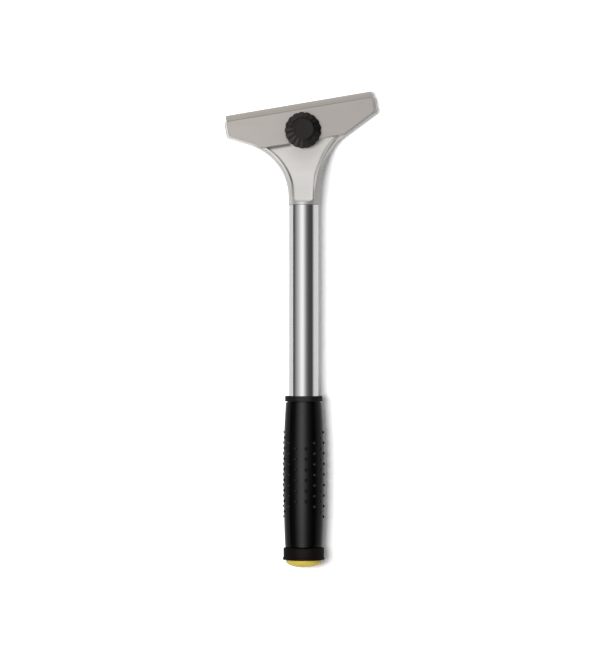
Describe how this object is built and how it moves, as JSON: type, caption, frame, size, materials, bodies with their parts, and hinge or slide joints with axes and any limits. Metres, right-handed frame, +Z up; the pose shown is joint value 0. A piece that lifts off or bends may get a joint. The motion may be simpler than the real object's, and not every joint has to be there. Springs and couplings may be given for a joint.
{
  "type": "long handled scraper",
  "caption": "Long-handled scraper: a replaceable steel blade clamped by a plate and ribbed knob in a skewed cast head, on a chromed tube with a pimpled rubber grip.",
  "frame": {"origin": "middle of the footprint of the tool's box, on the surface that it lies on", "axes": "+Y from the grip towards the blade along the handle, +Z up from the flat back of the head towards the knob, +X to the right as seen from above"},
  "size_m": [0.1034, 0.321, 0.0289],
  "materials": {
    "cast_aluminium": "die cast and tumbled, satin",
    "satin_steel": "ground and satin nickel plated",
    "blade_steel": "hardened strip with a ground bevel",
    "zinc_plated_steel": "bright zinc plate",
    "chromed_tube": "bright chrome",
    "black_moulding": "fine moulded grain",
    "black_rubber": "smooth moulded rubber with a soft sheen",
    "end_ring_plastic": "matte",
    "yellow_plastic": "moulded, half gloss"
  },
  "bodies": {
    "head": {"head_casting": "cast_aluminium", "hex_nut": "zinc_plated_steel", "tube": "chromed_tube", "grip_sleeve": "black_rubber", "end_ring": "end_ring_plastic", "end_plug": "yellow_plastic"},
    "clamp": {"clamp_plate": "satin_steel"},
    "washer": {"washer": "zinc_plated_steel"},
    "knob": {"knob": "black_moulding", "knob_screw": "zinc_plated_steel"},
    "blade": {"blade": "blade_steel"}
  },
  "joints": [
    {"name": "knob_lift", "type": "slide", "parent": "head", "child": "washer", "axis": [0, 0, 1], "range_m": [0, 0.0026]},
    {"name": "knob_turn", "type": "hinge", "parent": "washer", "child": "knob", "pos_m": [0.00144, 0.13389, 0], "axis": [0, 0, 1], "range_deg": [0, 900]},
    {"name": "clamp_lift", "type": "slide", "parent": "head", "child": "clamp", "axis": [0, 0, 1], "range_m": [0, 0.0026]},
    {"name": "blade_slide", "type": "slide", "parent": "head", "child": "blade", "axis": [-0.1668, 0.986, 0], "range_m": [0, 0.008]}
  ],
  "couplings": [
    {"joint": "knob_lift", "follows": "knob_turn", "m_per_rad": 0.00015915},
    {"joint": "clamp_lift", "follows": "knob_turn", "m_per_rad": 0.00015915}
  ]
}
